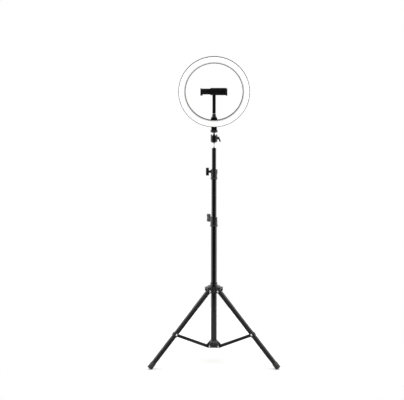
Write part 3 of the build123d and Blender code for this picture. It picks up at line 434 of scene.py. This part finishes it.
HEAD_BACKWARD = Matrix.Rotation(-pi / 2, 4, "X")
ring_low, ring_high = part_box("rear_housing")
ring_centre = (ring_low + ring_high) / 2
HOUSING_SCREWS = 8
HOUSING_SCREW_CIRCLE = 117.1
places = []
for i in range(HOUSING_SCREWS):
    angle = (i + 0.5) * tau / HOUSING_SCREWS
    out = HOUSING_SCREW_CIRCLE * MM
    seat = Vector((out * cos(angle), ring_high.y, ring_centre.z + out * sin(angle)))
    places.append(Matrix.Translation(seat) @ HEAD_BACKWARD)
cross_screws("Cross_housing_screws", "housing_screws", places, 2.6, 1.3, 1.1, 10.0)
BLOCK_SCREW_RISES = (21.3, 31.3)
block_low, block_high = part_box("mount_block")
places = []
for rise in BLOCK_SCREW_RISES:
    seat = Vector((0, block_high.y, block_low.z + rise * MM))
    places.append(Matrix.Translation(seat) @ HEAD_BACKWARD)
cross_screws("Cross_block_screws", "block_screws", places, 2.9, 1.6, 1.5, 12.8)
low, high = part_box("clip_pivot_screw")
PIVOT_HEAD = 2.0
seat = Vector((0, high.y - PIVOT_HEAD * MM, (low.z + high.z) / 2))
shank = (high.y - low.y) / MM - PIVOT_HEAD
cross_screws("Cross_clip_pivot_screw", "clip_pivot_screw", [Matrix.Translation(seat) @ HEAD_BACKWARD],
             4.0, PIVOT_HEAD, 2.0, shank)

# ---------------------------------------------------------------------------------------------
# Ball head: a die-cast alloy cup and a turned alloy ball, both blackened. The finish is a
# satin metallic black that catches a soft light on the rim, its ears and the ball's stem.

blackened, tree, shader, place = finish_of("BlackenedDieCastAlloy", Metallic=0.85, Roughness=0.34)
CAST_GRAIN = 0.8
STAIN_SIZE = 6           # across the patches in the blackening
cast = pattern(tree, place, CAST_GRAIN, 3.0)
stain = pattern(tree, place, STAIN_SIZE, 4.0)
tree.links.new(tint(tree, stain, "#1b1b1d", "#2a2a2c"), shader.inputs["Base Color"])
tree.links.new(between(tree, cast, 0.28, 0.42), shader.inputs["Roughness"])
relief(tree, shader, cast, 0.01)
settle(eased("ball_housing", "Cast_ball_housing", 0.5, 3), ["ball_housing"], blackened)
cover(["ball_stem"], blackened)

# ---------------------------------------------------------------------------------------------
# Lock ring: a nut of the same black moulding as the collars, with a grip of fine ribs round its
# edge. It is screwed up under the lamp's mount by hand, to stop the lamp from turning.

GRIP_RIBS = 30
GRIP_DEPTH = 0.5
RING_FACE = 2.2          # width of the sloped shoulder above and below the ribs
RING_SLOPE = 1.6
RING_SHOULDER = 0.5
low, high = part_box("lock_ring")
grip_r = (high.x - low.x) / MM / 2
bottom, top = low.z / MM, high.z / MM


def grip(angle):
    return grip_r - GRIP_DEPTH * (0.5 - 0.5 * cos(angle * GRIP_RIBS)) ** 2


ring = spun("Ribbed_lock_ring", [
    (bottom, STUD_R + BORE_CLEAR), (bottom, grip_r - RING_FACE), (bottom + 0.25, grip_r - RING_SLOPE),
    (bottom + 1.3, grip_r - RING_SHOULDER), (bottom + 1.7, grip), (top - 1.7, grip),
    (top - 1.3, grip_r - RING_SHOULDER), (top - 0.25, grip_r - RING_SLOPE),
    (top, grip_r - RING_FACE), (top, STUD_R + BORE_CLEAR),
], 240, True)
settle(ring, ["lock_ring"], moulding, sharp=50)

# ---------------------------------------------------------------------------------------------
# Lamp: a black ABS ring tray with a round-edged back, screwed to a block of the same ABS. The
# mould's texture is finer than the stand's, so it looks smoother and a little glossier.

abs_black, tree, shader, place = finish_of("TexturedAbs", IOR=1.54, Roughness=0.35)
ABS_GRAIN = 0.45
ABS_SHADE = 25           # across the slow changes of tone
grain = pattern(tree, place, ABS_GRAIN, 2.0)
shade = pattern(tree, place, ABS_SHADE, 3.0)
tree.links.new(tint(tree, shade, "#0b0b0c", "#141415"), shader.inputs["Base Color"])
tree.links.new(between(tree, grain, 0.3, 0.42), shader.inputs["Roughness"])
relief(tree, shader, grain, 0.012)
cover(["rear_housing"], abs_black)
settle(eased("mount_block", "Moulded_mount_block", 0.6, 3), ["mount_block"], abs_black)
settle(eased("holder_shoe", "Moulded_holder_shoe", 0.6, 3), ["holder_shoe"], abs_black)
settle(eased("cable_gland", "Moulded_cable_gland", 0.4, 3), ["cable_gland"], rubber)


def radius_from_centre(tree, place):
    """Distance from the ring's axis, in metres."""
    flat = add(tree, "ShaderNodeVectorMath", {"operation": "MULTIPLY"}, {0: place})
    flat.inputs[1].default_value = (1, 0, 1)
    away = add(tree, "ShaderNodeVectorMath", {"operation": "DISTANCE"}, {0: flat.outputs["Vector"]})
    away.inputs[1].default_value = (0, 0, ring_centre.z)
    return away.outputs["Value"]


# ---------------------------------------------------------------------------------------------
# Diffuser: opal polycarbonate, frosted by the mould. It is lit from inside, most in the middle of
# its band, and its glow dims at both edges, softly at the inner one, where the LEDs reach least.
# The grey at both edges is painted shade in its base colour.

opal, tree, shader, place = finish_of("OpalPolycarbonate", IOR=1.58, Roughness=0.42,
                                      Emission_Color=(1.0, 1.0, 0.99, 1.0))
away = radius_from_centre(tree, place)
COVER_BORE_R = 105.6
INNER_SHADE = 7.0        # width of the grey at each edge
OUTER_SHADE = 2.0
FROST_GRAIN = 0.6
cover_low, cover_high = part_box("diffuser")
cover_r = (cover_high.x - cover_low.x) / 2
bore_r = COVER_BORE_R * MM
inner_edge_shade = between(tree, away, 0.0, 1.0, bore_r, bore_r + INNER_SHADE * MM)
outer_edge_shade = between(tree, away, 1.0, 0.0, cover_r - OUTER_SHADE * MM, cover_r)
edge_shade = add(tree, "ShaderNodeMath", {"operation": "MULTIPLY"},
           {0: inner_edge_shade, 1: outer_edge_shade}).outputs["Value"]
# painted shade: the base colour goes grey towards both edges of the band, and the glow is weaker there
tree.links.new(tint(tree, edge_shade, "#8f8f8e", "#f4f4f2", 0.0, 1.0), shader.inputs["Base Color"])
tree.links.new(between(tree, edge_shade, 0.08, 0.6, 0.0, 1.0), shader.inputs["Emission Strength"])
frost = pattern(tree, place, FROST_GRAIN)
tree.links.new(between(tree, frost, 0.36, 0.5), shader.inputs["Roughness"])
relief(tree, shader, frost, 0.01)
cover(["diffuser"], opal)

# ---------------------------------------------------------------------------------------------
# Board: an aluminium-cored ring with white solder mask, and copper tracks under it that show as
# faint rings. The LEDs are white packages with yellow phosphor.

board, tree, shader, place = finish_of("WhiteSolderMask", IOR=1.5, Roughness=0.35)
TRACK_PITCH = 3.0
wave = add(tree, "ShaderNodeMath", {"operation": "SINE"}, {0: add(
    tree, "ShaderNodeMath", {"operation": "MULTIPLY", 1: tau / (TRACK_PITCH * MM)},
    {0: radius_from_centre(tree, place)}).outputs["Value"]}).outputs["Value"]
tree.links.new(tint(tree, wave, "#e9e9e4", "#d5d2c4", 0.5, 0.8), shader.inputs["Base Color"])
relief(tree, shader, wave, 0.03)
cover(["led_board"], board)
phosphor, tree, shader, place = finish_of("YellowPhosphor", IOR=1.5, Roughness=0.5)
tree.links.new(tint(tree, pattern(tree, place, 1.5), "#e8c93a", "#f3df7a"), shader.inputs["Base Color"])
relief(tree, shader, pattern(tree, place, 0.3), 0.02)
cover(["led_chips"], phosphor)

# ---------------------------------------------------------------------------------------------
# Phone holder: a swivel arm on a ball, and a clip with one fixed and one sprung jaw. All are
# moulded nylon like the collars, with rubber pads and a coiled tension spring in the body.

for node, radius in (("phone_arm", 0.8), ("clip_body", 0.8), ("clip_jaw", 0.8)):
    settle(eased(node, "Moulded_" + node, radius, 3), [node], moulding)

for node in ("fixed_jaw_pad", "moving_jaw_pad"):
    settle(eased(node, "Pad_" + node, 0.4, 3), [node], rubber)

SPRING_WIRE = 0.7
SPRING_PITCH = 1.75
WIRE_SIDES = 10
TURN_STEPS = 20
low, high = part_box("clip_spring")
coil_r = (high.z - low.z) / 2 - SPRING_WIRE * MM / 2
wire_r = SPRING_WIRE * MM / 2
length = high.x - low.x - 2 * wire_r
turns = round(length / (SPRING_PITCH * MM))
corners, faces = [], []
for i in range(turns * TURN_STEPS + 1):
    angle = i * tau / TURN_STEPS
    outward = Vector((0, cos(angle), sin(angle)))
    centre = Vector((low.x + wire_r + length * i / (turns * TURN_STEPS), (low.y + high.y) / 2,
                     (low.z + high.z) / 2)) + outward * coil_r
    for k in range(WIRE_SIDES):
        around = k * tau / WIRE_SIDES
        corners.append(centre + outward * (wire_r * cos(around)) + Vector((wire_r * sin(around), 0, 0)))
for i in range(turns * TURN_STEPS):
    for k in range(WIRE_SIDES):
        a = i * WIRE_SIDES + k
        b = i * WIRE_SIDES + (k + 1) % WIRE_SIDES
        faces.append((a, b, b + WIRE_SIDES, a + WIRE_SIDES))
faces.append(tuple(reversed(range(WIRE_SIDES))))
faces.append(tuple(range(turns * TURN_STEPS * WIRE_SIDES, (turns * TURN_STEPS + 1) * WIRE_SIDES)))
mesh = bpy.data.meshes.new("Coiled_clip_spring")
mesh.from_pydata(corners, [], faces)
spring = bpy.data.objects.new("Coiled_clip_spring", mesh)
bpy.context.scene.collection.objects.link(spring)
settle(spring, ["clip_spring"], nickel, sharp=60)
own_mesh(spring)

# ---------------------------------------------------------------------------------------------
# Surroundings: a pale paper floor, one soft box overhead, and a white room that is darker behind
# the camera and far beyond the object. The lens is long, so upright lines stay upright.

FLOOR_R = 0.75
FLOOR_DROP = 0.0005      # under the feet
FLOOR_SIDES = 64
floor_mesh = bpy.data.meshes.new("Floor")
floor_mesh.from_pydata([(FLOOR_R * cos(i * tau / FLOOR_SIDES), FLOOR_R * sin(i * tau / FLOOR_SIDES),
                         -FLOOR_DROP) for i in range(FLOOR_SIDES)], [], [list(range(FLOOR_SIDES))])
floor = bpy.data.objects.new("Floor", floor_mesh)
bpy.context.scene.collection.objects.link(floor)
paper, tree, shader, place = finish_of("MattWhitePaper", IOR=1.45, Roughness=0.9)
shader.inputs["Base Color"].default_value = linear("#c6c6c5")
floor_mesh.materials.append(paper)

CAMERA_RISE = radians(12.0)
CAMERA_AWAY = 8.0
VIEW_WIDTH = 1.485
AIM = Vector((-0.044, 0.0, 0.606))
lens = bpy.data.cameras.new("Camera")
lens.sensor_width = 36.0
lens.lens = lens.sensor_width * CAMERA_AWAY / VIEW_WIDTH
camera = bpy.data.objects.new("Camera", lens)
bpy.context.scene.collection.objects.link(camera)
direction = Vector((0, -cos(CAMERA_RISE), sin(CAMERA_RISE)))
camera.location = AIM + direction * CAMERA_AWAY
camera.rotation_euler = direction.to_track_quat("Z", "Y").to_euler()
bpy.context.scene.camera = camera


def soft_box(name, place, aim, width, height, watts):
    """A large rectangular lamp at place that faces aim."""
    light = bpy.data.lights.new(name, "AREA")
    light.shape = "RECTANGLE"
    light.size = width
    light.size_y = height
    light.energy = watts
    lamp = bpy.data.objects.new(name, light)
    lamp.location = place
    lamp.rotation_euler = (Vector(place) - Vector(aim)).to_track_quat("Z", "Y").to_euler()
    bpy.context.scene.collection.objects.link(lamp)


soft_box("SoftBoxTop", (0, 0.8, 3.4), (0, 0, 0.5), 2.6, 2.6, 10)

world = bpy.data.worlds.new("WhiteRoom")
world.use_nodes = True
tree = world.node_tree
tree.nodes.clear()
toward = add(tree, "ShaderNodeTexCoord", {}).outputs["Generated"]
parts = add(tree, "ShaderNodeSeparateXYZ", {}, {"Vector": toward})
DARK_WALL = 0.01         # behind the camera
SIDE_WALL = 2.8
FAR_WALL = 0.35          # beyond the object, as a share of the side walls
walls = between(tree, parts.outputs["Y"], DARK_WALL, SIDE_WALL, -0.72, -0.3)
far_wall = between(tree, parts.outputs["Y"], 1.0, FAR_WALL, 0.65, 0.95)
room = add(tree, "ShaderNodeMath", {"operation": "MULTIPLY"}, {0: walls, 1: far_wall}).outputs["Value"]
seen = add(tree, "ShaderNodeLightPath", {}).outputs["Is Camera Ray"]
strength = add(tree, "ShaderNodeMix", {"data_type": "FLOAT", 3: 1.0}, {0: seen, 2: room}).outputs[0]
sky = add(tree, "ShaderNodeBackground", {"Color": (1, 1, 1, 1)}, {"Strength": strength})
add(tree, "ShaderNodeOutputWorld", {}, {"Surface": sky.outputs["Background"]})
bpy.context.scene.world = world
bpy.context.scene.view_settings.view_transform = "Standard"
